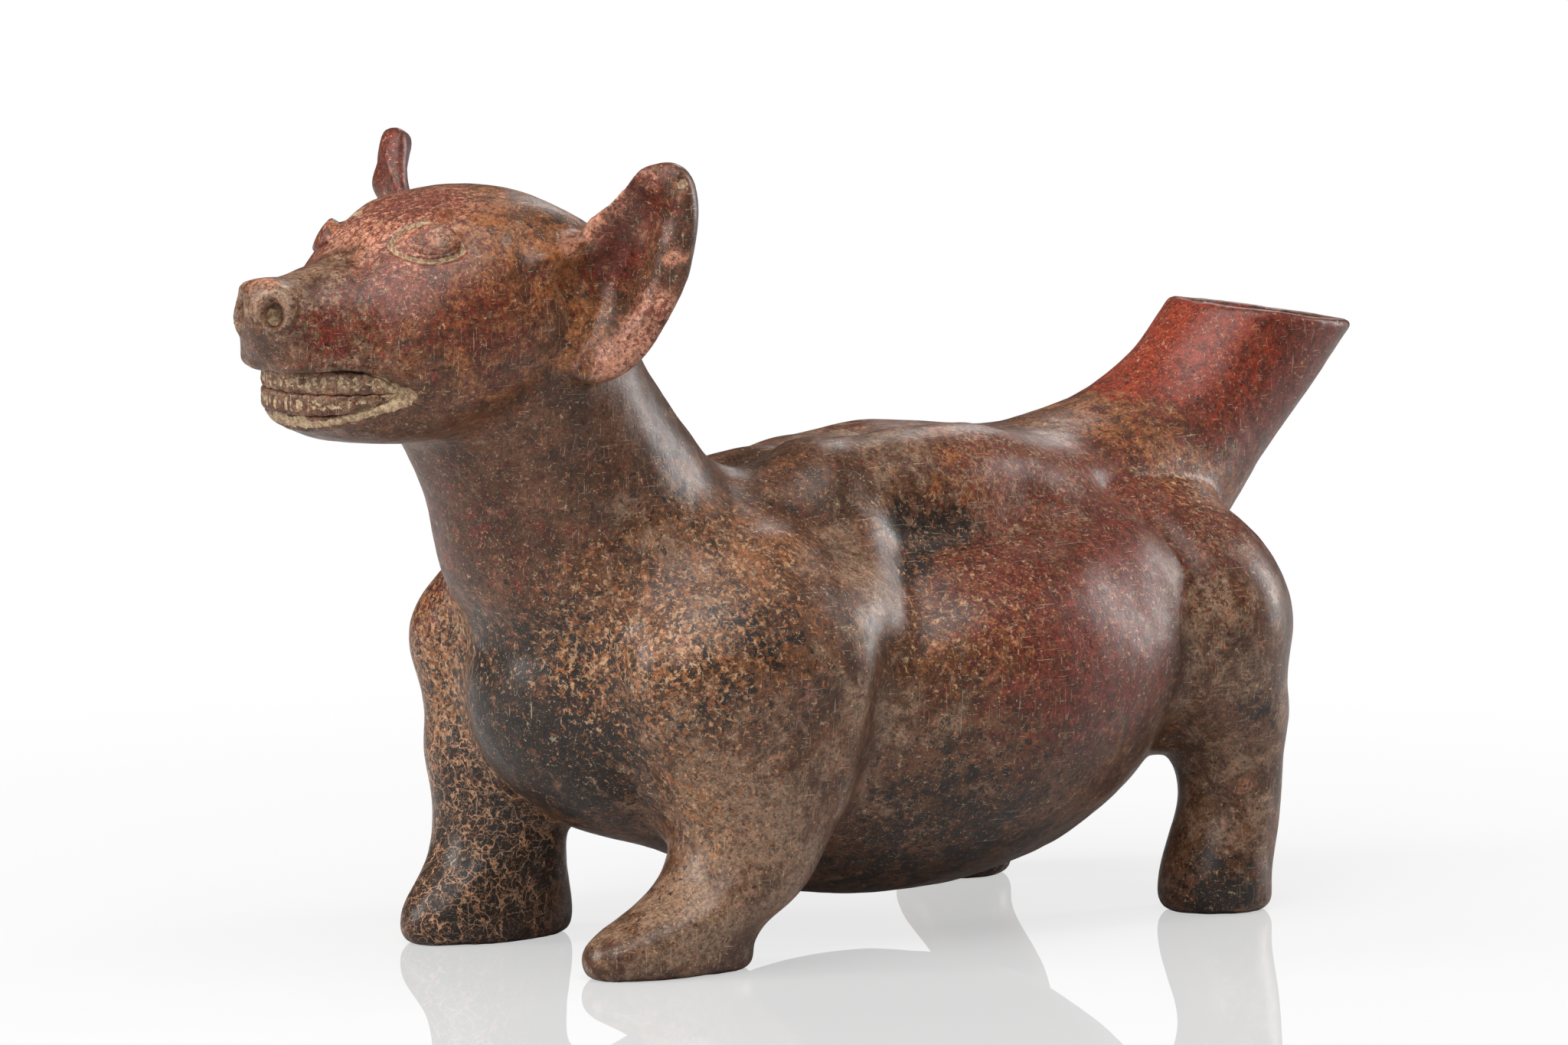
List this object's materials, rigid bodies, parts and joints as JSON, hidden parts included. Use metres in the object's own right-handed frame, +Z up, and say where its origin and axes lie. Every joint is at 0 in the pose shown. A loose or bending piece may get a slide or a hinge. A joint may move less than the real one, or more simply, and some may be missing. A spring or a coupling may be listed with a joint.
{
  "type": "askos vessel",
  "caption": "Hollow clay vessel shaped as a standing dog with pricked ears and bared teeth, filled and poured through an open slanted spout that serves as its tail.",
  "frame": {"origin": "on the floor under the middle of the vessel's length and width", "axes": "+Z up; the dog faces -X, so +X runs to the spout; its left side is -Y"},
  "size_m": [0.3949, 0.1588, 0.2329],
  "materials": {
    "burnished_red_clay": "burnished slip, satin, oxblood to brick red with dark flecks and pale root marks",
    "burnished_brown_clay": "burnished slip, satin, red-brown with black fire clouds and buff wear",
    "dark_belly_clay": "burnished slip, satin, dark brown with fine scratches",
    "pale_crusted_clay": "matte, clay under a pale buff mineral crust"
  },
  "bodies": {
    "root": {"belly_bowl": "dark_belly_clay", "back_vault": "burnished_red_clay", "neck_collar": "burnished_brown_clay", "head_shell": "burnished_brown_clay", "lower_jaw": "burnished_brown_clay", "upper_teeth": "pale_crusted_clay", "lower_teeth": "pale_crusted_clay", "nose_pad": "burnished_brown_clay", "tail_spout": "burnished_red_clay", "eye_pellet_left": "pale_crusted_clay", "eye_pellet_right": "pale_crusted_clay", "ear_left": "burnished_red_clay", "ear_right": "burnished_red_clay", "foreleg_left": "burnished_brown_clay", "foreleg_right": "burnished_brown_clay", "hind_leg_left": "burnished_red_clay", "hind_leg_right": "burnished_red_clay"}
  },
  "joints": []
}
